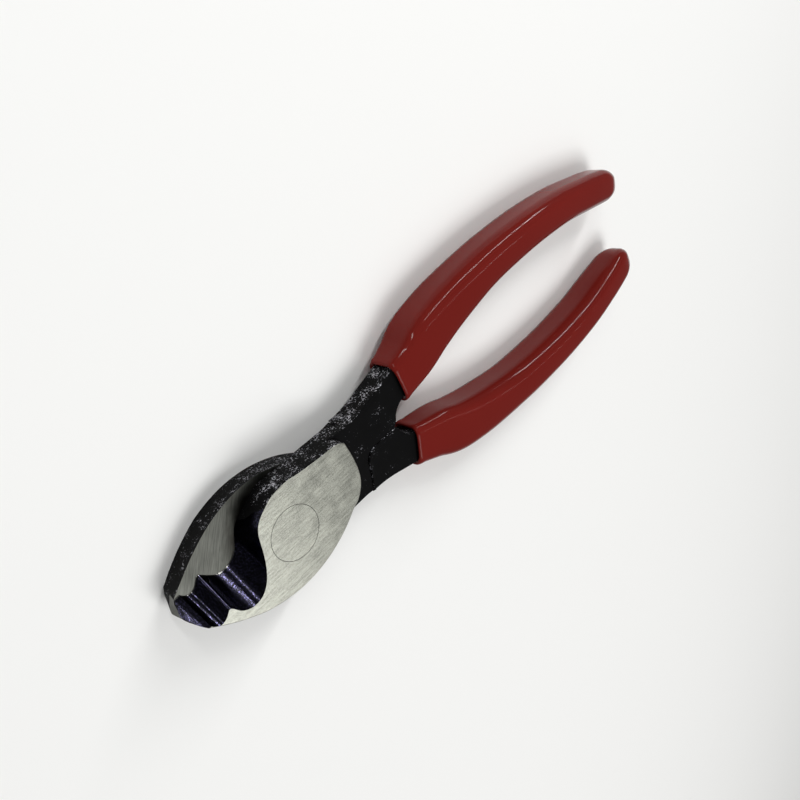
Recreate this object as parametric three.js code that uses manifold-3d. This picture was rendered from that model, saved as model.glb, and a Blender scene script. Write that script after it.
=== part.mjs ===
// Hand shear-type bolt and cable cutter: two identical forged halves lapped on one flush rivet, with vinyl-dipped handles.
// Millimetres. +X runs to the jaws, +Z along the rivet; the tool lies on its side at z = 0, jaws closed.
import * as THREE from "three";
import Module from "manifold-3d";

// ---- driving dimensions
const headThickness = 18; // both halves together, face to face
const shankThickness = 9; // flat steel behind the head
const lapClearance = 0.1; // between the two ground faces
const headWidthScale = 1; // 1 gives a head 36 mm wide over both halves
const lapRadius = 35; // half-thickness plate that turns inside the other half's shoulder
const shoulderGap = 0.3;
const stopGap = 0.1; // between the two stop faces on the centre line, handles closed
const rivetRadius = 8;
const rivetEndRadius = 8.6; // peened and ground flush
const rivetEndLength = 1.4;
const rivetRunning = 0.06; // radial clearance of the rivet
const bladeRun = 9.3; // how far the bevel carries the cutting edge over, face to mating face
const faceChamfer = 0.3;
const shankChamfer = 0.8;
const gripMouthX = -55.8; // where the handle's bow starts
const upperDip = 0.9, lowerDip = -1.4; // how far past that each vinyl dip stops, as dipped
const upperDipTilt = 12, lowerDipTilt = 0; // degrees off square, as dipped
const gripLength = 141.6;
const gripFlat = 0.62; // corner radius of the grip's section over its half thickness
const vinylWall = 1.9; // beside the tang
const tangEndShort = 12; // steel ends this far before the grip does
const tangClearance = 0.05;
const bowScale = 1; // 1 bows each handle 25.5 mm from the centre line

const half = headThickness / 2;
const hs = shankThickness / 2;
const gap = lapClearance / 2;

const wasm = await Module();
wasm.setup();
const { Manifold, Mesh } = wasm;

// ---- plan curves (x, y) of the upper half about the rivet's axis
// A smooth open curve through points, as n points.
function smooth(points, n) {
  const c = new THREE.CatmullRomCurve3(points.map(([x, y, z = 0]) => new THREE.Vector3(x, y, z)), false, "centripetal");
  return c.getSpacedPoints(n - 1).map((p) => [p.x, p.y, p.z]);
}

// Moves each corner of a counter-clockwise outline inwards by d.
function inset(poly, d) {
  const n = poly.length;
  return poly.map((p, i) => {
    const a = poly[(i + n - 1) % n], b = poly[(i + 1) % n];
    const u = new THREE.Vector2(p[0] - a[0], p[1] - a[1]).normalize();
    const v = new THREE.Vector2(b[0] - p[0], b[1] - p[1]).normalize();
    const m = new THREE.Vector2(-u.y - v.y, u.x + v.x);
    const k = d / Math.max(0.5, 0.5 * m.lengthSq());
    return [p[0] + m.x * k, p[1] + m.y * k];
  });
}

// A closed solid through rings of points, all with the same count, listed upwards.
function loft(rings) {
  const n = rings[0].length, tri = [];
  const pos = rings.flat().flat();
  const contour = rings[0].map(([x, y]) => new THREE.Vector2(x, y));
  const caps = THREE.ShapeUtils.triangulateShape(contour, []);
  if (caps.length !== n - 2) throw new Error('an outline has a repeated or a straight-line corner: ' + caps.length + ' of ' + (n - 2));
  const top = (rings.length - 1) * n;
  for (const [a, b, c] of caps) tri.push(a, c, b, top + a, top + b, top + c);
  for (let r = 0; r + 1 < rings.length; r++)
    for (let i = 0; i < n; i++) {
      const j = (i + 1) % n, a = r * n + i, b = r * n + j;
      tri.push(a, b, b + n, a, b + n, a + n);
    }
  return new Manifold(new Mesh({ numProp: 3, vertProperties: new Float32Array(pos), triVerts: new Uint32Array(tri) }));
}
const at = (poly, z) => poly.map(([x, y]) => [x, y, z]);

// Turns a lathe profile about the rivet's axis into a solid.
function turned(profile) {
  const g = new THREE.LatheGeometry(profile.map(([r, z]) => new THREE.Vector2(r, z)), 72);
  g.rotateX(Math.PI / 2); // the lathe's axis is Y; stand it on Z
  return solid(g);
}
function solid(geometry) {
  const seen = new Map(), verts = [], tri = [];
  const p = geometry.attributes.position, ix = geometry.index;
  for (let k = 0; k < ix.count; k += 3) {
    const t = [0, 1, 2].map((m) => {
      const i = ix.getX(k + m);
      const c = [p.getX(i), p.getY(i), p.getZ(i)].map((q) => Math.round(q * 1e5) / 1e5);
      const key = c.map((q) => q + 0).join();
      if (!seen.has(key)) { seen.set(key, verts.length / 3); verts.push(...c); }
      return seen.get(key);
    });
    if (t[0] !== t[1] && t[1] !== t[2] && t[2] !== t[0]) tri.push(...t);
  }
  const m = new Manifold(new Mesh({ numProp: 3, vertProperties: new Float32Array(verts), triVerts: new Uint32Array(tri) }));
  if (m.volume() > 0) return m;
  for (let k = 0; k < tri.length; k += 3) [tri[k + 1], tri[k + 2]] = [tri[k + 2], tri[k + 1]];
  return new Manifold(new Mesh({ numProp: 3, vertProperties: new Float32Array(verts), triVerts: new Uint32Array(tri) }));
}

const wide = ([x, y, z]) => [x, y * headWidthScale, z];

// ---- head and jaw blank: [x, y] on the outer face, then [x, y] on the mating face
const outerFace = [[34.9, 3.9], [33.1, 5.3], [30.5, 7.3], [25.2, 10.8], [17.2, 14.8], [7.4, 17.0], [0, 17.0], [-5.4, 16.1], [-11, 14.3], [-16, 11.9], [-20.6, 8.9]];
const outerMate = [[36.4, 4.6], [34.5, 6.0], [31.9, 7.8], [25.6, 11.9], [17.0, 16.0], [7.4, 18.3], [0, 18.3], [-5.6, 17.1], [-11.2, 15.0], [-16.3, 12.4], [-20.8, 9.2]];
const shoulder = [[-23.4, 7.6], [-25.6, 5.3], [-27.3, 2.2], [-28.0, -1.6], [-27.9, -7.0], [-27.2, -12.4]];
const innerSide = [[-26.0, -13.4], [-23.7, -14.1], [-16.9, -14.5], [-10.2, -15.2], [-4.0, -16.0], [1.7, -15.3], [6.2, -13.1], [9.8, -11.1]];
const blankFace = [[14.0, -9.4], [20, -8.6], [28, -8.2], [35.2, -6.6], [36.0, -3.2], [36.1, 0.3], [35.8, 2.7]];
const blankMate = [[14.0, -9.4], [20, -8.6], [28, -8.2], [35.6, -6.6], [36.7, -3.2], [37.1, 0.4], [37.0, 3.1]];
const ringOf = (outer, blank) => [...smooth(outer, 34), ...smooth(shoulder, 12), ...smooth(innerSide, 22), ...blank].map(wide);
const headMate = ringOf(outerMate, blankMate);
const headFace = ringOf(outerFace, blankFace);
// The tip's end is ground aslant: it stands out furthest a little above the mating face.
const tipBulgeZ = 3.5;
const tipBulge = [[36.4, -6.6], [38.0, -3.2], [38.1, -0.4], [37.2, 2.0]];
const bulgeShare = (tipBulgeZ - gap) / (half - faceChamfer - gap);
const outerBulge = outerMate.map(([x, y], i) => [x + (outerFace[i][0] - x) * bulgeShare, y + (outerFace[i][1] - y) * bulgeShare]);
const headBulge = ringOf(outerBulge, [...blankMate.slice(0, 3), ...tipBulge]);
const head = loft([at(headMate, gap), at(headBulge, tipBulgeZ), at(headFace, half - faceChamfer), at(inset(headFace, faceChamfer), half)]);

// ---- bevel cut: [x, y] of the milled edge on the outer face, then [x, y] of the cutting edge on the mating face
const bigScallop = [[8.6, -24, 9.3, -33.3], [9.1, -14, 9.8, -23.3], [9.6, -9.8, 10.3, -19.1], [10.8, -6.0, 11.5, -15.4], [11.5, -1.8, 12.3, -11.2], [12.9, 2.6, 13.5, -6.7],
  [14.9, 6.3, 15.3, -3.5], [17.6, 8.7, 17.9, -1.6], [20.4, 9.3, 20.7, -0.9], [22.8, 8.8, 23.0, -1.4], [25.0, 7.2, 25.2, -3.2], [26.9, 4.0, 27.0, -5.6]];
const smallScallop = [[28.0, 3.9, 28.1, -5.5], [28.8, 5.0, 29.1, -4.2], [30.1, 5.8, 30.5, -3.0], [31.5, 6.0, 32.0, -2.6], [32.9, 5.2, 33.4, -3.2], [34.2, 3.9, 34.6, -4.7]];
const tipLand = [[36.2, 3.9, 36.2, -4.6], [44, 4.6, 44, -4.0], [44, -24, 44, -33]];
// The plan of what is milled away at height z; bladeRun is how far the edge is carried over, face to mating face.
function milled(z) {
  const t = (half - z) / half;
  const side = (list, n) => {
    const face = smooth(list.map(([x, y]) => [x, y]), n), mate = smooth(list.map(([x, y, u, v]) => [u, v]), n);
    return face.map(([x, y], i) => [x + (mate[i][0] - x) * t, y + (mate[i][1] - y) * t * (bladeRun / 9.3)]);
  };
  const land = tipLand.map(([x, y, u, v]) => [x + (u - x) * t, y + (v - y) * t * (bladeRun / 9.3)]);
  return at([...side(bigScallop, 30), ...side(smallScallop, 13), ...land].reverse().map(wide), z);
}
const mill = loft([milled(-1), milled(half + 1)]);

// ---- lap plate, shank and tang
// Centre line, half width and half thickness of a handle at t = 0 (grip mouth) to 1 (end).
const bow = [[0, 12.2], [0.07, 15.2], [0.16, 20.0], [0.28, 23.3], [0.42, 25.3], [0.56, 25.5], [0.7, 24.3], [0.85, 20.8], [1, 16.2]];
const gripHalfWidth = [[0, 7.3], [0.06, 8.1], [0.115, 8.9], [0.22, 8.6], [0.4, 7.7], [0.7, 6.9], [0.9, 6.7], [1, 6.2]];
const gripHalfThick = [[0, 6.2], [0.1, 7.7], [0.2, 8.5], [0.45, 9], [0.68, 9], [0.85, 8.4], [1, 6.9]];
// The value at t of a smooth curve through [t, value] pairs.
function curveAt(table) {
  const c = smooth(table.map(([t, v]) => [t * 10, v]), 400);
  return (t) => {
    const k = t * 10;
    let i = c.findIndex((p) => p[0] >= k);
    if (i < 0) i = c.length - 1;
    if (i < 1) i = 1;
    const f = (k - c[i - 1][0]) / Math.max(1e-9, c[i][0] - c[i - 1][0]);
    return c[i - 1][1] + Math.min(1, Math.max(0, f)) * (c[i][1] - c[i - 1][1]);
  };
}
const bowAt = curveAt(bow), widthAt = curveAt(gripHalfWidth), thickAt = curveAt(gripHalfThick);
const centre = (t) => [gripMouthX - t * gripLength, -(12.2 + (bowAt(t) - 12.2) * bowScale)];
const along = (t) => {
  const e = 0.01, a = centre(t - e), b = centre(t + e);
  return new THREE.Vector2(b[0] - a[0], b[1] - a[1]).normalize();
};
// A point beside the centre line; positive is the outer side.
const beside = (t, d) => {
  const c = centre(t), u = along(t);
  return [c[0] - u.y * d, c[1] + u.x * d];
};

const tangEnd = 1 - tangEndShort / gripLength;
const tangSteps = Array.from({ length: 25 }, (_, i) => 0.02 + (tangEnd - 0.02) * (i / 24));
const tangOuter = tangSteps.map((t) => beside(t, widthAt(t) - vinylWall));
const tangInner = tangSteps.map((t) => beside(t, vinylWall - widthAt(t))).reverse();
const tangTip = Array.from({ length: 7 }, (_, i) => {
  const w = widthAt(tangEnd) - vinylWall, c = centre(tangEnd), u = along(tangEnd), a = (Math.PI / 8) * (i + 1);
  return [c[0] + u.x * w * Math.sin(a) - u.y * w * Math.cos(a), c[1] + u.y * w * Math.sin(a) + u.x * w * Math.cos(a)];
});
const arc = (r, from, to, n) => Array.from({ length: n }, (_, i) => {
  const a = THREE.MathUtils.degToRad(from + (to - from) * (i / (n - 1)));
  return [r * Math.cos(a), r * Math.sin(a)];
});
const neckOuter = [[-24.5, -14.2], [-28.5, -13.7], [-33, -13.4], [-38, -13.7], [-42, -14.4], [-47, -15.7], [-52, -17.0]];
const crotch = [[-57.2, -6.9], [-54.8, -6.0], [-52.9, -4.7], [-51.6, -3.0], [-50.8, -1.3], [-49.4, -stopGap / 2]];
const plateEdge = [[-29.5, 12.7], [-25.6, 12.72], [-21, 12.8], [-17, 12.9], [-14, 12.8]];
// Outline seen from above, counter-clockwise: outer edge back to the tang's end, inner edge forward to the crotch and the stop face.
const shankBack = [...smooth(neckOuter, 16), ...tangOuter, ...tangTip, ...tangInner, ...smooth(crotch, 9)];
const lapAngle = THREE.MathUtils.radToDeg(Math.asin(13 / lapRadius));
const upperPlan = [[-12, -13.5], ...shankBack, [-lapRadius - 3.4, -stopGap / 2], [-lapRadius - 1.9, 0.7], [-lapRadius - 0.3, 2.6],
  ...arc(lapRadius, 175.2, 180 - lapAngle, 10), ...plateEdge.filter(([x, y]) => Math.hypot(x, y) < lapRadius - 0.5), [-12, 9.4]].reverse();
const r2 = lapRadius + shoulderGap;
const lowAngle = THREE.MathUtils.radToDeg(Math.asin(13.45 / r2));
const lowerPlan = [...shankBack.filter(([x, y]) => Math.hypot(x, y) > r2 + 0.4),
  [-r2 - 3.6, -stopGap / 2], [-r2 - 2, -0.9], [-r2 - 0.45, -2.9], ...arc(r2, 185.2, 180 + lowAngle, 10)].reverse();
const c = shankChamfer;
const plate = loft([at(upperPlan, gap), at(upperPlan, hs - c), at(inset(upperPlan, c), hs)]);
const shank = loft([at(inset(lowerPlan, c), -hs), at(lowerPlan, c - hs), at(lowerPlan, gap + 0.4)]);

// ---- rivet and its bore
const rivetProfile = (k) => [[0, -half - (k ? 1 : 0)], [rivetEndRadius + k, -half - (k ? 1 : 0)], ...(k ? [[rivetEndRadius + k, -half]] : []),
  [rivetRadius + k, -half + rivetEndLength], [rivetRadius + k, half - rivetEndLength],
  ...(k ? [[rivetEndRadius + k, half]] : []), [rivetEndRadius + k, half + (k ? 1 : 0)], [0, half + (k ? 1 : 0)]];
const rivet = turned(rivetProfile(0));
const bore = turned(rivetProfile(rivetRunning));

const forged = head.add(plate).add(shank).subtract(mill).subtract(bore);

// ---- grip: rounded-rectangle sections square to the bowed centre line, closed by a rounded end, with a rolled rim at the mouth
function section(t, kWidth, kThick, n) {
  const a = widthAt(Math.min(t, 1)) * kWidth, b = thickAt(Math.min(t, 1)) * kThick;
  const r = Math.min(gripFlat * b, 0.95 * a), out = [];
  for (let i = 0; i < n; i++) {
    const s = ((i + 0.5) / n) * Math.PI * 2, cs = Math.cos(s), sn = Math.sin(s);
    out.push([r * cs + Math.sign(cs) * (a - r), r * sn + Math.sign(sn) * (b - r)]);
  }
  return out;
}
function gripSolid(dip, tilt) {
  const n = 32, rings = [];
  const place = (t, ring) => {
    const c0 = centre(t), u = along(t), skew = -Math.tan(THREE.MathUtils.degToRad(tilt)) * Math.max(0, 1 - t / 0.16);
    return ring.map(([w, z]) => [c0[0] + u.x * skew * w + u.y * w, c0[1] + u.y * skew * w - u.x * w, z]);
  };
  const t0 = dip / gripLength, e0 = 1.2 / gripLength;
  rings.push(place(t0, section(t0, 0.93, 0.92, n)));
  rings.push(place(t0 + 0.4 * e0, section(t0 + 0.4 * e0, 0.985, 0.985, n)));
  rings.push(place(t0 + e0, section(t0 + e0, 1, 1, n)));
  const capLength = widthAt(1), tCap = 1 - capLength / gripLength;
  for (let i = 1; i <= 32; i++) { const t = t0 + e0 + (tCap - t0 - e0) * (i / 32); rings.push(place(t, section(t, 1, 1, n))); }
  for (const deg of [18, 36, 52, 66, 78, 86]) {
    const s = Math.sin(THREE.MathUtils.degToRad(deg)), k = Math.cos(THREE.MathUtils.degToRad(deg));
    const t = tCap + (1 - tCap) * s;
    rings.push(place(t, section(t, Math.pow(k, 0.9), 0.42 + 0.58 * k, n)));
  }
  const pos = rings.flat().flat(), tri = [], m = rings.length;
  const add = (p) => { pos.push(...p); return pos.length / 3 - 1; };
  const mid = (ring) => ring.reduce((s, p) => [s[0] + p[0] / n, s[1] + p[1] / n, s[2] + p[2] / n], [0, 0, 0]);
  const a = add(mid(rings[0])), b = add(mid(rings[m - 1]));
  for (let i = 0; i < n; i++) {
    const j = (i + 1) % n;
    tri.push(a, i, j, b, (m - 1) * n + j, (m - 1) * n + i);
    for (let k = 0; k + 1 < m; k++) tri.push(k * n + i, (k + 1) * n + i, (k + 1) * n + j, k * n + i, (k + 1) * n + j, k * n + j);
  }
  const make = () => new Manifold(new Mesh({ numProp: 3, vertProperties: new Float32Array(pos), triVerts: new Uint32Array(tri) }));
  let g = make();
  if (g.volume() < 0) { for (let k = 0; k < tri.length; k += 3) [tri[k + 1], tri[k + 2]] = [tri[k + 2], tri[k + 1]]; g = make(); }
  const e = tangClearance;
  const pocketPlan = inset([...shankBack, [-40, -2]].reverse(), -e);
  const pocket = loft([at(inset(pocketPlan, c), -hs - e), at(pocketPlan, c - hs - e), at(pocketPlan, hs - c + e), at(inset(pocketPlan, c), hs + e)]);
  return g.subtract(pocket);
}
const upperGrip = gripSolid(upperDip, upperDipTilt), lowerGrip = gripSolid(lowerDip, lowerDipTilt);

// ---- assembly: the lower half is the upper one turned over about the long axis
const group = new THREE.Group();
group.name = "bolt_cutters";
function mesh(name, body, color, roughness, metalness, turnedOver) {
  const m = body.getMesh(), g = new THREE.BufferGeometry();
  const v = new Float32Array(m.numVert * 3);
  for (let i = 0; i < m.numVert; i++) v.set(m.vertProperties.subarray(i * m.numProp, i * m.numProp + 3), i * 3);
  g.setAttribute("position", new THREE.BufferAttribute(v, 3));
  g.setIndex(new THREE.BufferAttribute(new Uint32Array(m.triVerts), 1));
  if (turnedOver) g.rotateX(Math.PI);
  g.translate(0, 0, half);
  g.computeVertexNormals();
  const o = new THREE.Mesh(g, new THREE.MeshStandardMaterial({ color, roughness, metalness }));
  o.name = name;
  group.add(o);
}
mesh("upper_half", forged, 0x8d8f90, 0.4, 1, false);
mesh("lower_half", forged, 0x4a4b4c, 0.5, 1, true);
mesh("pivot_rivet", rivet, 0xb4b5b4, 0.35, 1, false);
mesh("upper_grip", upperGrip, 0x8c1410, 0.25, 0, false);
mesh("lower_grip", lowerGrip, 0x8c1410, 0.25, 0, true);

export default group;
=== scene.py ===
import math
import bpy
from mathutils import Matrix, Vector


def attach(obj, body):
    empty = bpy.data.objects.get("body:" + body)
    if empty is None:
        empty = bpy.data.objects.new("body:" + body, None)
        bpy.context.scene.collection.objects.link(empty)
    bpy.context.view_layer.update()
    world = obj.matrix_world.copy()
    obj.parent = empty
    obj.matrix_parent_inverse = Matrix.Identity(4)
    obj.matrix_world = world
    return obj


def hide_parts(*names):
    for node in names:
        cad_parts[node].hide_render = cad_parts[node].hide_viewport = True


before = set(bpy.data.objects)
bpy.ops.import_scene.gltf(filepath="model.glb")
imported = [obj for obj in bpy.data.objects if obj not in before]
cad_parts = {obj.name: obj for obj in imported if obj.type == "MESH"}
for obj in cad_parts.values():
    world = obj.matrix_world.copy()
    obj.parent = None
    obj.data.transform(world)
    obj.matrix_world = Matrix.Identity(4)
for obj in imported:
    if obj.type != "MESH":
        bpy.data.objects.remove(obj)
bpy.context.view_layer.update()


# ---- Camera: at the head end, above the near jaw, looking back along the handles with the frame rolled.
# The 36 mm lens stands only a quarter of a metre off, so the jaws swell and the handle ends shrink.
camera = bpy.data.cameras.new("camera")
camera.sensor_width = 36.0
camera.lens = 35.80
camera.clip_start = 0.01
camera_object = bpy.data.objects.new("camera", camera)
bpy.context.scene.collection.objects.link(camera_object)
right = (-0.643353, 0.311023, 0.699544)
up = (-0.577276, -0.797259, -0.176439)
back = (0.502841, -0.517342, 0.692465)
turn = Matrix((right, up, back)).transposed().to_4x4()
camera_object.matrix_world = Matrix.Translation((0.07408, -0.14027, 0.19164)) @ turn
bpy.context.scene.camera = camera_object


# ---- Floor: a plain pale table top, far larger than the view.
# Matt painted board, nearly white, so the tool's dark sides read against it.
def linear(hex_colour):
    """An sRGB hex colour as linear RGBA."""
    parts = [int(hex_colour[i:i + 2], 16) / 255 for i in (1, 3, 5)]
    return tuple(c / 12.92 if c <= 0.04045 else ((c + 0.055) / 1.055) ** 2.4 for c in parts) + (1.0,)


def add_node(tree, kind, settings=None, **inputs):
    """Adds a node. Settings are its properties; inputs are its sockets, each a value or a socket to link.
    A socket is given by name, or by number where sockets share a name: _6 is the seventh."""
    node = tree.nodes.new(kind)
    for name, value in (settings or {}).items():
        setattr(node, name, value)
    for name, value in inputs.items():
        key = int(name[1:]) if name[0] == "_" and name[1:].isdigit() else name.replace("_", " ")
        socket = node.inputs[key]
        if isinstance(value, bpy.types.NodeSocket):
            tree.links.new(value, socket)
        else:
            socket.default_value = value
    return node


def new_material(name):
    """An empty material with its output; returns it, its tree and its Principled shader."""
    material = bpy.data.materials.new(name)
    material.use_nodes = True
    tree = material.node_tree
    tree.nodes.clear()
    shader = add_node(tree, "ShaderNodeBsdfPrincipled")
    add_node(tree, "ShaderNodeOutputMaterial", Surface=shader.outputs[0])
    return material, tree, shader


def mesh_object(name, points, faces, materials):
    """A mesh object at the origin from points in millimetres."""
    mesh = bpy.data.meshes.new(name)
    mesh.from_pydata([tuple(c * 0.001 for c in p) for p in points], [], faces)
    for m in materials:
        mesh.materials.append(m)
    mesh.update()
    made = bpy.data.objects.new(name, mesh)
    bpy.context.scene.collection.objects.link(made)
    return made


painted_board, tree, shader = new_material("matt_painted_board")
shader.inputs["Base Color"].default_value = linear("#f4f4f2")
shader.inputs["Roughness"].default_value = 0.75
board = 2500     # half its side, mm
board_top = -0.05
corners = [(x * board, y * board, board_top) for x, y in ((-1, -1), (1, -1), (1, 1), (-1, 1))]
floor = mesh_object("floor", corners, [(0, 1, 2, 3)], [painted_board])


# ---- Studio light: a dim white room, and one large soft box above that lights the board and ground faces.
# Narrow strips draw the thin lines of gloss along the vinyl's rounded corners and down the milled bevel.
def softbox(name, place, size, power, target=(-0.06, 0, 0.01), along=None):
    """An area light facing target; its first size runs level, or as near to along as facing allows."""
    light = bpy.data.lights.new(name, "AREA")
    light.shape = "RECTANGLE"
    light.size, light.size_y = size
    light.energy = power
    lamp = bpy.data.objects.new(name, light)
    away = (Vector(place) - Vector(target)).normalized()
    first = Vector(along or Vector((0, 0, 1)).cross(away))
    first = (first - away * first.dot(away)).normalized()
    turn = Matrix((first, away.cross(first), away)).transposed().to_4x4()
    lamp.matrix_world = Matrix.Translation(place) @ turn
    bpy.context.scene.collection.objects.link(lamp)


room = bpy.data.worlds.new("pale_room")
room.use_nodes = True
background = room.node_tree.nodes["Background"]
background.inputs["Color"].default_value = (1.0, 1.0, 1.0, 1.0)
background.inputs["Strength"].default_value = 0.22
bpy.context.scene.world = room
bpy.context.scene.view_settings.view_transform = "Standard"
softbox("overhead_box", (0.10, 0.50, 1.35), (0.7, 0.7), 10.5)
softbox("face_box", (-0.10, 0.50, 0.60), (0.22, 0.22), 0.42, target=(0, 0, 0.018))
handles = (-0.10, 0, 0.01)
softbox("handle_strip", (-0.60, -0.612, 0.532), (0.80, 0.016), 4.0, target=handles, along=(0.9, 0.02, 0.52))
softbox("handle_strip_above", (-0.62, 0.16, 0.80), (0.40, 0.008), 0.24, target=handles, along=(0.85, 0, 0.5))
softbox("bevel_strip", (0.05, -0.60, 0.53), (0.03, 0.3), 0.9, target=(0.02, 0, 0.01))


# ---- Upper half: one drop-forged alloy steel lever, from jaw to tang, black with forging scale.
# Its two head faces are ground bright. Its bevel is milled in two scallops and left black by heat treatment.
# The halves lap at the head, where the rivet holds them, and each tang runs on inside its grip.
HALF = 9.0          # head thickness of one half
SHANK = 4.5         # half thickness of the shank
MATING_GAP = 0.05   # film between the ground faces, each side of the middle plane
EDGE = 0.3          # rounding of the head's outer rim
BULGE_Z = 3.5       # height above the middle plane where the tip's end stands out furthest
PER_MM = 1000.0     # a noise scale of n * PER_MM has n features to the millimetre


def smooth_through(points, count=None):
    """Points evenly spaced along a centripetal Catmull-Rom curve; with no count, twelve to each interval."""
    p = [Vector(q) for q in points]
    p = [p[0] * 2 - p[1]] + p + [p[-1] * 2 - p[-2]]
    dense = []
    for i in range(1, len(p) - 2):
        a, b, c, d = p[i - 1:i + 3]
        ta = (b - a).length ** 0.5
        tb = ta + (c - b).length ** 0.5
        tc = tb + (d - c).length ** 0.5
        for k in range(24):
            t = ta + (tb - ta) * k / 24
            a1 = a * ((ta - t) / ta) + b * (t / ta)
            a2 = b * ((tb - t) / (tb - ta)) + c * ((t - ta) / (tb - ta))
            a3 = c * ((tc - t) / (tc - tb)) + d * ((t - tb) / (tc - tb))
            b1 = a1 * ((tb - t) / tb) + a2 * (t / tb)
            b2 = a2 * ((tc - t) / (tc - ta)) + a3 * ((t - ta) / (tc - ta))
            dense.append(b1 * ((tb - t) / (tb - ta)) + b2 * ((t - ta) / (tb - ta)))
    dense.append(p[-2])
    if count is None:
        return [tuple(q) for q in dense[::2]]
    run = [0.0]
    for a, b in zip(dense, dense[1:]):
        run.append(run[-1] + (b - a).length)
    out, j = [], 0
    for i in range(count):
        want = run[-1] * i / (count - 1)
        while j < len(run) - 2 and run[j + 1] < want:
            j += 1
        f = (want - run[j]) / max(1e-9, run[j + 1] - run[j])
        out.append(tuple(dense[j].lerp(dense[j + 1], min(1.0, f))))
    return out


def drawn_in(outline, distance):
    """Moves a counter-clockwise outline inwards; distance may be a list, one for each point."""
    n, moved = len(outline), []
    for i, p in enumerate(outline):
        u = (Vector(p) - Vector(outline[i - 1])).normalized()
        v = (Vector(outline[(i + 1) % n]) - Vector(p)).normalized()
        m = Vector((-u.y - v.y, u.x + v.x))
        k = (distance[i] if isinstance(distance, list) else distance) / max(0.5, 0.5 * m.length_squared)
        moved.append((p[0] + m.x * k, p[1] + m.y * k))
    return moved


def lofted(name, rings, materials, side_slots, bottom_slot, top_slot):
    """A closed solid through rings of (outline, height), listed upwards, with a slot for each band."""
    n = len(rings[0][0])
    points = [(x, y, z) for outline, z in rings for x, y in outline]
    faces, slots = [tuple(range(n - 1, -1, -1))], [bottom_slot]
    for r in range(len(rings) - 1):
        for i in range(n):
            j = (i + 1) % n
            faces.append((r * n + i, r * n + j, (r + 1) * n + j, (r + 1) * n + i))
            slots.append(side_slots[r] if isinstance(side_slots, list) else side_slots)
    faces.append(tuple(range((len(rings) - 1) * n, len(rings) * n)))
    slots.append(top_slot)
    made = mesh_object(name, points, faces, materials)
    made.data.polygons.foreach_set("material_index", slots)
    return made


def combine(base, tools):
    """Applies boolean steps [(operation, object)] to base and removes the tools."""
    for operation, tool in tools:
        step = base.modifiers.new("step", "BOOLEAN")
        step.operation, step.solver, step.object = operation, "MANIFOLD", tool
    mesh = bpy.data.meshes.new_from_object(base.evaluated_get(bpy.context.evaluated_depsgraph_get()))
    for operation, tool in tools:
        bpy.data.objects.remove(tool)
    bpy.data.objects.remove(base)
    return mesh


def grinding_lines(tree, coordinates, scale, stretch, detail):
    """Parallel tool marks: noise drawn out along the axis where stretch is small."""
    place = add_node(tree, "ShaderNodeMapping", Vector=coordinates, Scale=stretch).outputs[0]
    noise = add_node(tree, "ShaderNodeTexNoise", Scale=scale, Detail=detail, Roughness=0.6, Vector=place)
    return noise.outputs["Fac"]


# Ground tool steel: surface-ground on a belt along the tool, so it is satin with fine straight lines.
# The grinding leaves clouds of finer and coarser finish, and small pits where the forging scale was deep.
# Real grinding lines are about 0.03 mm apart; these are drawn 0.25 mm apart so that they show.
ground_steel, tree, shader = new_material("belt_ground_tool_steel")
spot = add_node(tree, "ShaderNodeTexCoord").outputs["Object"]
lines = grinding_lines(tree, spot, 4 * PER_MM, (0.05, 1.0, 1.0), 4.0)
broad = grinding_lines(tree, spot, 0.9 * PER_MM, (0.08, 1.0, 1.0), 2.0)
cloud = add_node(tree, "ShaderNodeTexNoise", Scale=0.24 * PER_MM, Detail=4.0, Vector=spot).outputs["Fac"]
grit = add_node(tree, "ShaderNodeTexNoise", Scale=2.6 * PER_MM, Detail=2.0, Vector=spot).outputs["Fac"]
pits = add_node(tree, "ShaderNodeTexNoise", Scale=0.9 * PER_MM, Detail=3.0, Roughness=0.6, Vector=spot)
pits = pits.outputs["Fac"]
pit = add_node(tree, "ShaderNodeMapRange", Value=pits, From_Min=0.715, From_Max=0.76).outputs[0]
mixed = lines
for pattern, weight in ((broad, 0.35), (cloud, 0.25), (grit, 0.8)):
    mixed = add_node(tree, "ShaderNodeMath", {"operation": "MULTIPLY_ADD"},
                     _0=pattern, _1=weight, _2=mixed).outputs[0]
tone = add_node(tree, "ShaderNodeMapRange", Value=mixed, From_Min=0.945, From_Max=1.455).outputs[0]
colour = add_node(tree, "ShaderNodeMix", {"data_type": "RGBA"},
                  Factor=tone, _6=linear("#84857d"), _7=linear("#bebfb4")).outputs[2]
pitted = add_node(tree, "ShaderNodeMix", {"data_type": "RGBA"}, Factor=pit, _6=colour, _7=linear("#55524c"))
tree.links.new(pitted.outputs[2], shader.inputs["Base Color"])
rough = add_node(tree, "ShaderNodeMapRange", Value=cloud,
                 From_Min=0.3, From_Max=0.7, To_Min=0.34, To_Max=0.46)
tree.links.new(rough.outputs[0], shader.inputs["Roughness"])
shader.inputs["Metallic"].default_value = 1.0
height = add_node(tree, "ShaderNodeMath", {"operation": "SUBTRACT"}, _0=mixed, _1=pit).outputs[0]
bump = add_node(tree, "ShaderNodeBump", Strength=0.35, Distance=0.00002, Height=height)
tree.links.new(bump.outputs[0], shader.inputs["Normal"])

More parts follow.
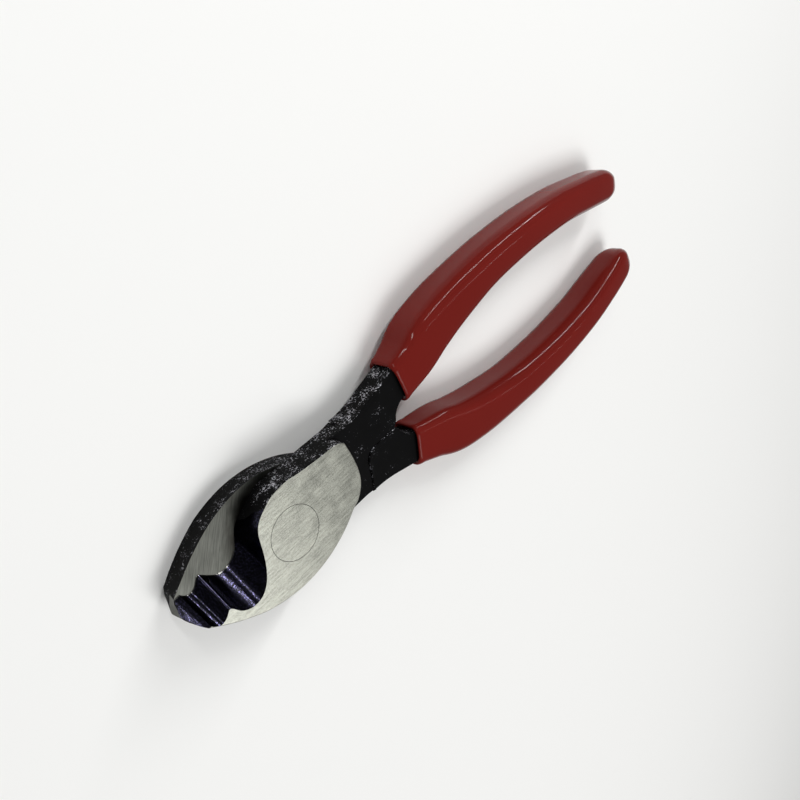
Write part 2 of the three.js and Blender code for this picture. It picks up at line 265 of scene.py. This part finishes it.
# Black forging scale: the hot steel's oxide, nearly black and dry, with grains of bare metal that shine.
# Grains are from about 0.5 mm down. The flanks, which the trimming tool tore, have many, the flat sides few.
forging_scale, tree, shader = new_material("black_forging_scale")
spot = add_node(tree, "ShaderNodeTexCoord").outputs["Object"]
facing = add_node(tree, "ShaderNodeNewGeometry").outputs["True Normal"]
upright = add_node(tree, "ShaderNodeSeparateXYZ", Vector=facing).outputs["Z"]
upright = add_node(tree, "ShaderNodeMath", {"operation": "ABSOLUTE"}, _0=upright).outputs[0]
flank = add_node(tree, "ShaderNodeMapRange", Value=upright,
                 From_Min=0.55, From_Max=0.9, To_Min=1.0, To_Max=0.0).outputs[0]
grain = add_node(tree, "ShaderNodeTexNoise", Scale=1.8 * PER_MM, Detail=4.0, Roughness=0.7, Vector=spot)
grain = grain.outputs["Fac"]
patch = add_node(tree, "ShaderNodeTexNoise", Scale=0.26 * PER_MM, Detail=3.0, Vector=spot).outputs["Fac"]
speckle = add_node(tree, "ShaderNodeMath", {"operation": "MULTIPLY_ADD"},
                   _0=patch, _1=0.45, _2=grain).outputs[0]
how_torn = add_node(tree, "ShaderNodeAttribute", {"attribute_name": "torn"}).outputs["Fac"]
rubbed = add_node(tree, "ShaderNodeMath", {"operation": "MULTIPLY"}, _0=flank, _1=how_torn).outputs[0]
speckle = add_node(tree, "ShaderNodeMath", {"operation": "MULTIPLY_ADD"},
                   _0=rubbed, _1=0.12, _2=speckle).outputs[0]
bare = add_node(tree, "ShaderNodeMapRange", Value=speckle, From_Min=0.925, From_Max=0.985).outputs[0]
dark = add_node(tree, "ShaderNodeMix", {"data_type": "RGBA"},
                Factor=patch, _6=linear("#050505"), _7=linear("#0d0d0e")).outputs[2]
colour = add_node(tree, "ShaderNodeMix", {"data_type": "RGBA"}, Factor=bare, _6=dark, _7=linear("#b4b4bb"))
tree.links.new(colour.outputs[2], shader.inputs["Base Color"])
tree.links.new(bare, shader.inputs["Metallic"])
rough = add_node(tree, "ShaderNodeMapRange", Value=bare, To_Min=0.60, To_Max=0.32)
tree.links.new(rough.outputs[0], shader.inputs["Roughness"])
shader.inputs["Specular IOR Level"].default_value = 0.05
deep = add_node(tree, "ShaderNodeMapRange", Value=rubbed, To_Min=0.15, To_Max=1.0).outputs[0]
bump = add_node(tree, "ShaderNodeBump", Strength=deep, Distance=0.00015, Height=grain)
tree.links.new(bump.outputs[0], shader.inputs["Normal"])

# Milled and hardened bevel: cutter marks run down it, and the oil quench left it blue-black and half glossy.
# Its last quarter of a millimetre was honed after hardening, so a paler line follows the cutting edge.
quench_black, tree, shader = new_material("oil_quenched_milled_steel")
spot = add_node(tree, "ShaderNodeTexCoord").outputs["Object"]
streak = grinding_lines(tree, spot, 0.9 * PER_MM, (1.0, 0.08, 0.08), 3.0)
film = add_node(tree, "ShaderNodeTexNoise", Scale=2.6 * PER_MM, Detail=3.0, Roughness=0.6, Vector=spot)
film = film.outputs["Fac"]
worn = add_node(tree, "ShaderNodeMapRange", Value=film, From_Min=0.50, From_Max=0.72).outputs[0]
colour = add_node(tree, "ShaderNodeMix", {"data_type": "RGBA"},
                  Factor=worn, _6=linear("#101013"), _7=linear("#42405a")).outputs[2]
height = add_node(tree, "ShaderNodeSeparateXYZ", Vector=spot).outputs["Z"]
off_middle = add_node(tree, "ShaderNodeMath", {"operation": "SUBTRACT"},
                      _0=height, _1=HALF * 0.001).outputs[0]
off_middle = add_node(tree, "ShaderNodeMath", {"operation": "ABSOLUTE"}, _0=off_middle).outputs[0]
honed = add_node(tree, "ShaderNodeMapRange", Value=off_middle,
                 From_Min=0.00014, From_Max=0.00024, To_Min=1.0, To_Max=0.0).outputs[0]
edge = add_node(tree, "ShaderNodeMix", {"data_type": "RGBA"}, Factor=honed, _6=colour, _7=linear("#62625e"))
tree.links.new(edge.outputs[2], shader.inputs["Base Color"])
shader.inputs["Metallic"].default_value = 1.0
rough = add_node(tree, "ShaderNodeMapRange", Value=film,
                 From_Min=0.3, From_Max=0.7, To_Min=0.20, To_Max=0.12)
tree.links.new(rough.outputs[0], shader.inputs["Roughness"])
bump = add_node(tree, "ShaderNodeBump", Strength=0.25, Distance=0.00003, Height=streak)
tree.links.new(bump.outputs[0], shader.inputs["Normal"])

# Lapped mating face: ground across the tool with a finer belt, so it is a flatter grey. Its grey is painted
# darker as painted shade from the half above it, and darker still within about 20 mm of the pivot as painted
# shadow.
# Real lapping lines are about 0.02 mm apart; these are drawn 0.33 mm apart so that they show.
shaded_lapped_steel, tree, shader = new_material("lapped_steel_painted_shade")
spot = add_node(tree, "ShaderNodeTexCoord").outputs["Object"]
turn = add_node(tree, "ShaderNodeMapping", Vector=spot, Rotation=(0.0, 0.0, math.radians(-54))).outputs[0]
lines = grinding_lines(tree, turn, 3 * PER_MM, (0.05, 1.0, 1.0), 3.0)
cloud = add_node(tree, "ShaderNodeTexNoise", Scale=0.16 * PER_MM, Detail=2.0, Vector=spot).outputs["Fac"]
level = add_node(tree, "ShaderNodeMapping", Vector=spot, Scale=(1.0, 1.0, 0.0)).outputs[0]
far_out = add_node(tree, "ShaderNodeVectorMath", {"operation": "LENGTH"}, _0=level).outputs["Value"]
reach = add_node(tree, "ShaderNodeMath", {"operation": "MULTIPLY_ADD"},
                 _0=cloud, _1=0.006, _2=far_out).outputs[0]
# Painted shadow: the face goes darker within about 20 mm of the pivot, where the upper half stands over it.
pivot_painted_shade = add_node(tree, "ShaderNodeMapRange", Value=reach,
                  From_Min=0.0180, From_Max=0.0228, To_Min=1.0, To_Max=0.0).outputs[0]
clean = add_node(tree, "ShaderNodeMapRange", Value=lines, From_Min=0.3, From_Max=0.7).outputs[0]
# Both greys are set darker than the ground faces' as painted shade.
colour = add_node(tree, "ShaderNodeMix", {"data_type": "RGBA"},
                  Factor=clean, _6=linear("#474844"), _7=linear("#5f605b")).outputs[2]
# The painted shadow near the pivot is mixed in here.
shaded_colour = add_node(tree, "ShaderNodeMix", {"data_type": "RGBA"}, Factor=pivot_painted_shade, _6=colour, _7=linear("#23221f"))
tree.links.new(shaded_colour.outputs[2], shader.inputs["Base Color"])
shader.inputs["Metallic"].default_value = 1.0
rough = add_node(tree, "ShaderNodeMapRange", Value=cloud,
                 From_Min=0.3, From_Max=0.7, To_Min=0.38, To_Max=0.5)
tree.links.new(rough.outputs[0], shader.inputs["Roughness"])
bump = add_node(tree, "ShaderNodeBump", Strength=0.3, Distance=0.00002, Height=lines)
tree.links.new(bump.outputs[0], shader.inputs["Normal"])

steel = [ground_steel, forging_scale, quench_black, shaded_lapped_steel]
GROUND, SCALE, MILLED, LAPPED = 0, 1, 2, 3


def between(a, b, f):
    """An outline a share f of the way from outline a to outline b."""
    return [(p[0] + (q[0] - p[0]) * f, p[1] + (q[1] - p[1]) * f) for p, q in zip(a, b)]


# The head's outline on its outer face and on its mating face, which the die's draft makes a little larger.
outer_face = [(34.9, 3.9), (33.1, 5.3), (30.5, 7.3), (25.2, 10.8), (17.2, 14.8), (7.4, 17.0),
              (0, 17.0), (-5.4, 16.1), (-11, 14.3), (-16, 11.9), (-20.6, 8.9)]
outer_mate = [(36.4, 4.6), (34.5, 6.0), (31.9, 7.8), (25.6, 11.9), (17.0, 16.0), (7.4, 18.3),
              (0, 18.3), (-5.6, 17.1), (-11.2, 15.0), (-16.3, 12.4), (-20.8, 9.2)]
shoulder = [(-23.4, 7.6), (-25.6, 5.3), (-27.3, 2.2), (-28.0, -1.6), (-27.9, -7.0), (-27.2, -12.4)]
inner_side = [(-26.0, -13.4), (-23.7, -14.1), (-16.9, -14.5), (-10.2, -15.2), (-4.0, -16.0),
              (1.7, -15.3), (6.2, -13.1), (9.8, -11.1), (14.0, -9.4), (20, -8.6), (28, -8.2)]
tip_face = [(35.2, -6.6), (36.0, -3.2), (36.1, 0.3), (35.8, 2.7)]
tip_mate = [(35.6, -6.6), (36.7, -3.2), (37.1, 0.4), (37.0, 3.1)]
bulge_tip = [(36.4, -6.6), (38.0, -3.2), (38.1, -0.4), (37.2, 2.0)]
counts = (150, 60, 130, 14)     # points on each of the four curves, the same in every outline
before_tip = sum(counts[:3])


def joined(curves):
    """The four curves as one outline."""
    return [p for curve, n in zip(curves, counts) for p in smooth_through(curve, n)]


face_outline = joined((outer_face, shoulder, inner_side, tip_face))
mate_outline = joined((outer_mate, shoulder, inner_side, tip_mate))
share = (BULGE_Z - MATING_GAP) / (HALF - EDGE - MATING_GAP)
bulge_outline = between(mate_outline, face_outline, share)[:before_tip] + smooth_through(bulge_tip, counts[3])
# Where the shoulder meets the shank it flares outwards into a fillet, and nowhere else.
fillet = [math.sin(math.pi * (i + 0.5) / counts[1]) ** 0.5 for i in range(counts[1])]
flare = [0.0] * counts[0] + fillet + [0.0] * (counts[2] + counts[3])


def spread(amount):
    """How far in each point of the outline goes: outwards by the amount at the shoulder, so less than 0."""
    return [-amount * f for f in flare]


def wall(z):
    """The head's outline at a height: straight draft, but the tip's end bulges above the mating face."""
    if z < BULGE_Z:
        return between(mate_outline, bulge_outline, (z - MATING_GAP) / (BULGE_Z - MATING_GAP))
    return between(bulge_outline, face_outline, (z - BULGE_Z) / (HALF - EDGE - BULGE_Z))


head_rings = [(wall(z), z) for z in (MATING_GAP, 1.2, 2.4, BULGE_Z)]
for z, amount in ((4.4, 1.9), (4.62, 1.25), (4.95, 0.75), (5.4, 0.36), (6.1, 0.08)):
    head_rings.append((drawn_in(wall(z), spread(amount)), z))
head_rings += [(wall(7.0), 7.0), (wall(8.0), 8.0)]
for k in range(5):
    a = math.pi / 2 * k / 4
    head_rings.append((drawn_in(face_outline, EDGE * (1 - math.cos(a))), HALF - EDGE + EDGE * math.sin(a)))
bands = [SCALE] * (len(head_rings) - 3) + [GROUND] * 2
head = lofted("head", head_rings, steel, bands, LAPPED, GROUND)
# Below the bulge the tip's end is ground with the mating face: its faces in the three bands above the foot.
for band in range(3):
    for i in range(before_tip, sum(counts)):
        head.data.polygons[1 + band * sum(counts) + i].material_index = LAPPED

# Shank, lap plate and tang: 9 mm bar with rounded edges. The lap plate turns inside the other's shoulder.
# Along the handle t runs from 0 at the grip's mouth to 1 at its end.
mouth_x, grip_length = -55.8, 141.6
vinyl_wall = 1.9    # how far inside the grip's sides the tang lies
bow = [(0, 12.2), (0.07, 15.2), (0.16, 20.0), (0.28, 23.3), (0.42, 25.3),
       (0.56, 25.5), (0.7, 24.3), (0.85, 20.8), (1, 16.2)]
half_width = [(0, 7.3), (0.06, 8.1), (0.115, 8.9), (0.22, 8.6), (0.4, 7.7), (0.7, 6.9), (0.9, 6.7), (1, 6.2)]
half_thick = [(0, 6.2), (0.1, 7.7), (0.2, 8.5), (0.45, 9), (0.68, 9), (0.85, 8.4), (1, 6.9)]


def reader(table):
    """Reads a smooth curve through (t, value) pairs."""
    curve = smooth_through([(t * 10, v) for t, v in table], 500)

    def read(t):
        lo, hi = 1, len(curve) - 1
        while lo < hi:
            i = (lo + hi) // 2
            if curve[i][0] < t * 10:
                lo = i + 1
            else:
                hi = i
        a, b = curve[lo - 1], curve[lo]
        return a[1] + (t * 10 - a[0]) / (b[0] - a[0]) * (b[1] - a[1])
    return read


bow_at, width_at, thick_at = reader(bow), reader(half_width), reader(half_thick)


def centre(t):
    """The handle's middle line."""
    return Vector((mouth_x - t * grip_length, -bow_at(t)))


def outward(t):
    """Unit vector across the handle, towards its outer side."""
    d = (centre(t + 0.01) - centre(t - 0.01)).normalized()
    return Vector((-d.y, d.x))


tang_start = 0.02
tang_end = 1 - 12 / grip_length     # 12 mm short of the grip's end
steps = [tang_start + (tang_end - tang_start) * i / 40 for i in range(41)]
tang_outer = [tuple(centre(t) + outward(t) * (width_at(t) - vinyl_wall)) for t in steps]
tang_inner = [tuple(centre(t) - outward(t) * (width_at(t) - vinyl_wall)) for t in reversed(steps)]
w, c0, s0 = width_at(tang_end) - vinyl_wall, centre(tang_end), outward(tang_end)
ahead = Vector((s0.y, -s0.x))
tip_turns = [math.pi / 12 * (i + 1) for i in range(11)]
tang_tip = [tuple(c0 + ahead * w * math.sin(a) + s0 * w * math.cos(a)) for a in tip_turns]
neck_outer = [(-24.5, -14.2), (-28.5, -13.7), (-33, -13.4), (-38, -13.7),
              (-42, -14.4), (-47, -15.7), (-52, -17.0)]
crotch = [(-57.2, -6.9), (-54.8, -6.0), (-52.9, -4.7), (-51.6, -3.0), (-50.8, -1.3), (-49.4, -0.05)]
back_outline = smooth_through(neck_outer, 60) + tang_outer + tang_tip + tang_inner
back_outline += smooth_through(crotch, 30)


def arc(radius, first, last, count):
    """Points on a circle about the rivet, from one angle to another in degrees."""
    turns = [math.radians(first + (last - first) * i / (count - 1)) for i in range(count)]
    return [(radius * math.cos(a), radius * math.sin(a)) for a in turns]


lap = 35.0          # radius of the lap plate's edge
shank_lap = 35.3    # radius of the shank's end, which clears the other half's lap
shank_from = 35.7   # the shank takes the back outline only from this radius outwards
stop_to_lap = smooth_through([(-39.4, -0.05), (-38.0, 0.05), (-36.4, 1.0), (-35.2, 2.6), (-34.9, 4.0)], 14)
lap_edge = arc(lap, 173.0, 180 - math.degrees(math.asin(13 / lap)), 24)
under_head = [(-31.6, 12.9), (-29.5, 12.7), (-25.6, 12.72), (-21, 12.8), (-17, 12.9), (-14, 12.8)]
plate_outline = [(-12, -13.5)] + back_outline + stop_to_lap + lap_edge + smooth_through(under_head, 16)
plate_outline = (plate_outline + [(-12, 9.4)])[::-1]
stop_to_shank = [(-39.8, -0.05), (-38.4, -0.25), (-36.8, -1.3), (-35.6, -2.9), (-35.25, -4.2)]
shank_edge = arc(shank_lap, 187.2, 180 + math.degrees(math.asin(13.45 / shank_lap)), 24)
behind_lap = [p for p in back_outline if math.hypot(*p) > shank_from]
shank_outline = (behind_lap + smooth_through(stop_to_shank, 14) + shank_edge)[::-1]


def rounded_rings(outline, foot, top, radius, direction):
    """Rings from foot to top whose far edge is rounded."""
    rings = [(outline, foot)]
    for k in range(5):
        a = math.pi / 2 * k / 4
        height = top - direction * radius * (1 - math.sin(a))
        rings.append((drawn_in(outline, radius * (1 - math.cos(a))), height))
    return rings if direction > 0 else rings[::-1]


bar_edge = 0.7      # radius of the bar's rounded edges
plate_rings = rounded_rings(plate_outline, MATING_GAP, SHANK, bar_edge, 1)
plate = lofted("plate", plate_rings, steel, SCALE, LAPPED, SCALE)
shank_rings = rounded_rings(shank_outline, MATING_GAP + 0.4, -SHANK, bar_edge, -1)
shank = lofted("shank", shank_rings, steel, SCALE, SCALE, SCALE)

# Bevel: two scallops milled aslant with a ridge between. Each pair is one ruled line of the cut, from the
# outer face down to where it comes out on the mating face.
scallops = [((0.5, -16.9), (1.5, -17.2)), ((3.4, -14.85), (5.0, -14.2)), ((5.8, -13.2), (8.2, -12.2)),
            ((7.6, -12.0), (10.4, -10.75)), ((8.8, -10.8), (11.7, -9.6)), ((9.6, -9.4), (12.4, -8.6)),
            ((10.15, -8.0), (12.8, -7.9)), ((11.5, -1.8), (13.1, -7.35)), ((12.9, 2.6), (13.5, -6.7)),
            ((14.9, 6.3), (15.3, -3.5)), ((17.6, 8.7), (17.9, -1.6)), ((20.4, 9.3), (20.7, -0.9)),
            ((22.8, 8.8), (23.0, -1.4)), ((25.0, 7.2), (25.2, -3.2)), ((26.5, 4.9), (26.7, -4.8)),
            ((27.1, 4.15), (27.3, -5.45)), ((27.8, 4.05), (28.0, -5.5)), ((28.5, 4.7), (28.8, -4.7)),
            ((30.1, 5.8), (30.5, -3.0)), ((31.5, 6.0), (32.0, -2.6)), ((32.9, 5.2), (33.4, -3.2)),
            ((34.2, 3.9), (34.6, -4.7))]
tip_land = [((36.2, 3.9), (36.2, -4.6)), ((44, 4.6), (44, -4.0)), ((44, -24), (44, -33))]


def milled_at(z):
    """The mill's outline at a height above the mating face."""
    f = (HALF - z) / HALF
    outline = between(smooth_through([p for p, q in scallops]), smooth_through([q for p, q in scallops]), f)
    return (outline + between([p for p, q in tip_land], [q for p, q in tip_land], f))[::-1]


mill = lofted("mill", [(milled_at(-1), -1), (milled_at(HALF + 1), HALF + 1)], steel, MILLED, MILLED, MILLED)


def turned(name, profile, materials, count=160):
    """A solid of revolution about the rivet's axis from (radius, height, slot) stations, listed upwards.
    Each slot is for the band above its station."""
    turns = [2 * math.pi * i / count for i in range(count)]
    rings = [([(r * math.cos(a), r * math.sin(a)) for a in turns], z) for r, z, s in profile]
    return lofted(name, rings, materials, [s for r, z, s in profile][:-1], profile[0][2], profile[-1][2])


# The bore's walls take the black scale: painted shade that darkens the gap round the rivet's ends.
bore_profile = [(8.69, -10, SCALE), (8.69, -9, SCALE), (8.6, -8.75, SCALE), (8.06, -7.6, SCALE),
                (8.06, 7.6, SCALE), (8.6, 8.75, SCALE), (8.69, 9, SCALE), (8.69, 10, SCALE)]
bore = turned("bore", bore_profile, steel)
half_mesh = combine(head, [("UNION", plate), ("UNION", shank), ("DIFFERENCE", mill), ("DIFFERENCE", bore)])
half_mesh.name = "half"
# How torn the flanks are: fully round the handle and half as much at the tip, but not at all where the mill's
# run-out smoothed the throat of the jaw.
torn = half_mesh.attributes.new("torn", "FLOAT", "POINT")
for corner, value in zip(half_mesh.vertices, torn.data):
    x, y = corner.co.x * 1000, corner.co.y * 1000
    if y < -4:
        value.value = 1.0 - min(1.0, max(0.0, (x - 1.0) / 8.0))
    else:
        value.value = 1.0 - 0.5 * min(1.0, max(0.0, (x + 5.0) / 25.0))


def finished_half(name, turned_over):
    """One half in its place. Its edges are sharp, but the milled cut blends into the flank beside it."""
    mesh = half_mesh.copy()
    if turned_over:
        mesh.transform(Matrix.Rotation(math.pi, 4, "X"))
    mesh.transform(Matrix.Translation((0, 0, HALF * 0.001)))
    made = bpy.data.objects.new(name, mesh)
    bpy.context.scene.collection.objects.link(made)
    mesh.shade_smooth()
    mesh.set_sharp_from_angle(angle=math.radians(32))
    sharp = mesh.attributes["sharp_edge"].data
    beside = [set() for _ in mesh.edges]
    number = {tuple(sorted(e.vertices)): e.index for e in mesh.edges}
    for face in mesh.polygons:
        for key in face.edge_keys:
            beside[number[tuple(sorted(key))]].add(face.material_index)
    for index, pair in enumerate(beside):
        if pair == {SCALE, MILLED}:
            sharp[index].value = False
    weighted = made.modifiers.new("flat faces stay flat", "WEIGHTED_NORMAL")
    weighted.keep_sharp = True
    weighted.weight = 90
    return made


upper = finished_half("upper_forging", False)
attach(upper, "upper_cutter")
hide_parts("upper_half")


# ---- Lower half: the same forging turned over about the tool's length.
# It carries the rivet, and its jaw's mating face shows bright behind the upper jaw's bevel.
lower = finished_half("lower_forging", True)
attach(lower, "lower_cutter")
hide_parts("lower_half")
bpy.data.meshes.remove(half_mesh)


# ---- Pivot rivet: solid steel pin, its ends spread into the countersinks and ground flush with the head.
# Only a hair line round each end shows where it stops: the narrow gap, in shade, whose black-scale walls are
# painted shade.
# The band just below each end of the pin takes the black scale: painted shade that darkens the gap round it.
rivet_profile = [(8.54, -9, SCALE), (8.56, -8.75, SCALE), (8.0, -7.6, SCALE),
                 (8.0, 7.6, SCALE), (8.56, 8.75, SCALE), (8.54, 9, GROUND)]
rivet = turned("rivet_pin", rivet_profile, [ground_steel, forging_scale])
rivet.data.polygons[0].material_index = GROUND
rivet.data.transform(Matrix.Translation((0, 0, HALF * 0.001)))
rivet.data.shade_smooth()
rivet.data.set_sharp_from_angle(angle=math.radians(20))
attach(rivet, "lower_cutter")
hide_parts("pivot_rivet")


# ---- Grips: each handle was dipped hot into liquid vinyl several times, which leaves a thick glossy red
# skin, a rolled lip at the mouth and soft corners. Each is one soft-cornered section swept along the handle.

# Dipped plastisol vinyl: opaque and smooth as it cured, so it is deep red with thin sharp lines of gloss.
# Faint clouds about 33 mm across, and ripples 8 mm wide and 70 mm long, show where it drained.
dipped_vinyl, tree, shader = new_material("dipped_red_vinyl")
spot = add_node(tree, "ShaderNodeTexCoord").outputs["Object"]
drain = grinding_lines(tree, spot, 0.12 * PER_MM, (0.12, 1.0, 1.0), 1.0)
cloud = add_node(tree, "ShaderNodeTexNoise", Scale=0.03 * PER_MM, Detail=2.0, Vector=spot).outputs["Fac"]
colour = add_node(tree, "ShaderNodeMix", {"data_type": "RGBA"},
                  Factor=cloud, _6=linear("#661a15"), _7=linear("#711f1a"))
tree.links.new(colour.outputs[2], shader.inputs["Base Color"])
shader.inputs["Roughness"].default_value = 0.07
shader.inputs["IOR"].default_value = 1.42
shader.inputs["Specular IOR Level"].default_value = 0.12
bump = add_node(tree, "ShaderNodeBump", Strength=0.10, Distance=0.0001, Height=drain)
tree.links.new(bump.outputs[0], shader.inputs["Normal"])

sweep = bpy.data.node_groups.new("dipped_sleeve", "GeometryNodeTree")
wanted = (("Handle", "NodeSocketGeometry", None), ("Corner", "NodeSocketFloat", 0.6),
          ("Section Points", "NodeSocketInt", 64), ("Vinyl", "NodeSocketMaterial", None))
for name, kind, value in wanted:
    socket = sweep.interface.new_socket(name, in_out="INPUT", socket_type=kind)
    if value is not None:
        socket.default_value = value
sweep.interface.new_socket("Sleeve", in_out="OUTPUT", socket_type="NodeSocketGeometry")
given = add_node(sweep, "NodeGroupInput").outputs
path = add_node(sweep, "GeometryNodeMeshToCurve", Mesh=given["Handle"]).outputs[0]
square = add_node(sweep, "GeometryNodeCurvePrimitiveQuadrilateral", Width=2.0, Height=2.0).outputs[0]
soft = add_node(sweep, "GeometryNodeFilletCurve", {"mode": "POLY"},
                Curve=square, Radius=given["Corner"], Count=12).outputs[0]
even = add_node(sweep, "GeometryNodeResampleCurve", Curve=soft, Count=given["Section Points"]).outputs[0]
point = {"data_type": "FLOAT_VECTOR", "domain": "POINT"}
position = add_node(sweep, "GeometryNodeInputPosition").outputs[0]
across = add_node(sweep, "GeometryNodeStoreNamedAttribute", point,
                  Geometry=even, Name="across", Value=position).outputs[0]
spine = add_node(sweep, "GeometryNodeStoreNamedAttribute", point,
                 Geometry=path, Name="spine", Value=position).outputs[0]
tube = add_node(sweep, "GeometryNodeCurveToMesh", Curve=spine, Profile_Curve=across).outputs[0]
stored = {}
for name, kind in (("across", "FLOAT_VECTOR"), ("spine", "FLOAT_VECTOR"), ("side", "FLOAT_VECTOR"),
                   ("thick", "FLOAT"), ("softness", "FLOAT")):
    reading = add_node(sweep, "GeometryNodeInputNamedAttribute", {"data_type": kind}, Name=name)
    stored[name] = reading.outputs[0]
section = add_node(sweep, "ShaderNodeSeparateXYZ", Vector=stored["across"]).outputs
# Under 1, the softness pushes the corners out towards square, as near the mouth where the bar is square.
squared = {}
for axis in ("X", "Y"):
    size = add_node(sweep, "ShaderNodeMath", {"operation": "ABSOLUTE"}, _0=section[axis]).outputs[0]
    pushed = add_node(sweep, "ShaderNodeMath", {"operation": "POWER"},
                      _0=size, _1=stored["softness"]).outputs[0]
    sign = add_node(sweep, "ShaderNodeMath", {"operation": "SIGN"}, _0=section[axis]).outputs[0]
    squared[axis] = add_node(sweep, "ShaderNodeMath", {"operation": "MULTIPLY"},
                             _0=pushed, _1=sign).outputs[0]
# Each broad side is crowned: it falls away from its middle line, by 0.13 of its height at the corners.
crown = add_node(sweep, "ShaderNodeMath", {"operation": "MULTIPLY"},
                 _0=section["X"], _1=section["X"]).outputs[0]
crown = add_node(sweep, "ShaderNodeMath", {"operation": "MULTIPLY_ADD"},
                 _0=crown, _1=-0.13, _2=1.0).outputs[0]
squared["Y"] = add_node(sweep, "ShaderNodeMath", {"operation": "MULTIPLY"},
                        _0=squared["Y"], _1=crown).outputs[0]
side_step = add_node(sweep, "ShaderNodeVectorMath", {"operation": "SCALE"},
                     _0=stored["side"], Scale=squared["X"]).outputs[0]
rise = add_node(sweep, "ShaderNodeMath", {"operation": "MULTIPLY"},
                _0=squared["Y"], _1=stored["thick"]).outputs[0]
lift = add_node(sweep, "ShaderNodeCombineXYZ", Z=rise).outputs[0]
flat = add_node(sweep, "ShaderNodeVectorMath", {"operation": "ADD"},
                _0=stored["spine"], _1=side_step).outputs[0]
place = add_node(sweep, "ShaderNodeVectorMath", {"operation": "ADD"}, _0=flat, _1=lift).outputs[0]
shaped = add_node(sweep, "GeometryNodeSetPosition", Geometry=tube, Position=place).outputs[0]
closed = add_node(sweep, "GeometryNodeMergeByDistance", Geometry=shaped, Distance=0.000004).outputs[0]
smooth = add_node(sweep, "GeometryNodeSetShadeSmooth", Geometry=closed).outputs[0]
real = add_node(sweep, "GeometryNodeRealizeInstances", Geometry=smooth).outputs[0]
coated = add_node(sweep, "GeometryNodeSetMaterial", Geometry=real, Material=given["Vinyl"]).outputs[0]
add_node(sweep, "NodeGroupOutput", Sleeve=coated)


def dipped_grip(name, dip, tilt, turned_over):
    """dip is how far past the handle's start the vinyl stops, tilt how far off square its edge is."""
    stations = []           # (t, share of width, share of thickness, vinyl taken off)
    t0 = dip / grip_length
    mm = 1 / grip_length
    skin = 1.75             # thickness of the vinyl seen in the mouth
    inner = ((8.0, 1.0), (3.0, 1.0), (1.4, 1.0), (0.8, 0.86), (0.35, 0.62), (0.08, 0.34), (0.0, 0.16))
    rolled = ((0.12, 0.06), (0.5, -0.1), (1.1, -0.16), (2.0, -0.12), (3.2, 0.0))
    for depth, share in inner:
        stations.append((t0 + depth * mm, 1.0, 1.0, skin * share))
    for depth, inset in rolled:
        stations.append((t0 + depth * mm, 1.0, 1.0, inset))
    cap = width_at(1.0) * 1.7   # length of the rounded end
    t_cap = 1 - cap * mm
    first = t0 + rolled[-1][0] * mm
    body_steps, cap_steps = 110, 24
    for i in range(1, body_steps + 1):
        stations.append((first + (t_cap - first) * i / body_steps, 1.0, 1.0, 0.0))
    for i in range(1, cap_steps + 1):
        a = math.pi / 2 * i / cap_steps
        k = max(0.0, math.cos(a))
        thickness = 0.0 if i == cap_steps else k ** 0.9
        stations.append((t_cap + (1 - t_cap) * math.sin(a), k, thickness, 0.0))
    tilt_fades = 0.16       # the slant of the mouth is gone by this t
    mouth_softness = 0.62   # the softness at the mouth, which rises to 1 from square_to on, over round_over
    square_to, round_over = 0.12, 0.24
    spine_points, sides, thicks, squares = [], [], [], []
    for t, share_w, share_t, off in stations:
        c, s = centre(t), outward(t)
        ahead = Vector((s.y, -s.x))
        skew = math.tan(math.radians(tilt)) * max(0.0, 1 - t / tilt_fades)
        wide = max(0.0, width_at(t) - off) * share_w
        side = (s + ahead * skew) * wide
        spine_points.append((c.x, c.y, 0.0))
        sides.append((side.x, side.y, 0.0))
        thicks.append(max(0.0, thick_at(t) - off) * share_t)
        roundness = min(1.0, max(0.0, (t - square_to) / round_over))
        squares.append(mouth_softness + (1 - mouth_softness) * roundness)
    mesh = bpy.data.meshes.new(name)
    in_metres = [tuple(q * 0.001 for q in p) for p in spine_points]
    mesh.from_pydata(in_metres, [(i, i + 1) for i in range(len(spine_points) - 1)], [])
    side_values = mesh.attributes.new("side", "FLOAT_VECTOR", "POINT").data
    side_values.foreach_set("vector", [q * 0.001 for p in sides for q in p])
    mesh.attributes.new("thick", "FLOAT", "POINT").data.foreach_set("value", [q * 0.001 for q in thicks])
    mesh.attributes.new("softness", "FLOAT", "POINT").data.foreach_set("value", squares)
    handle = bpy.data.objects.new(name + "_path", mesh)
    bpy.context.scene.collection.objects.link(handle)
    modifier = handle.modifiers.new("sleeve", "NODES")
    modifier.node_group = sweep
    values = {"Vinyl": dipped_vinyl, "Corner": 0.62, "Section Points": 72}
    for item in sweep.interface.items_tree:
        if item.in_out == "INPUT" and item.name in values:
            modifier[item.identifier] = values[item.name]
    sleeve = bpy.data.meshes.new_from_object(handle.evaluated_get(bpy.context.evaluated_depsgraph_get()))
    bpy.data.objects.remove(handle)
    if turned_over:
        sleeve.transform(Matrix.Rotation(math.pi, 4, "X"))
    sleeve.transform(Matrix.Translation((0, 0, HALF * 0.001)))
    for extra in ("side", "thick", "softness", "spine", "across"):
        if extra in sleeve.attributes:
            sleeve.attributes.remove(sleeve.attributes[extra])
    made = bpy.data.objects.new(name, sleeve)
    bpy.context.scene.collection.objects.link(made)
    return made


for name, node, body, dip, tilt, over in (("upper_sleeve", "upper_grip", "upper_cutter", 0.9, 12, False),
                                          ("lower_sleeve", "lower_grip", "lower_cutter", -1.4, 0, True)):
    sleeve = dipped_grip(name, dip, tilt, over)
    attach(sleeve, body)
    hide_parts(node)
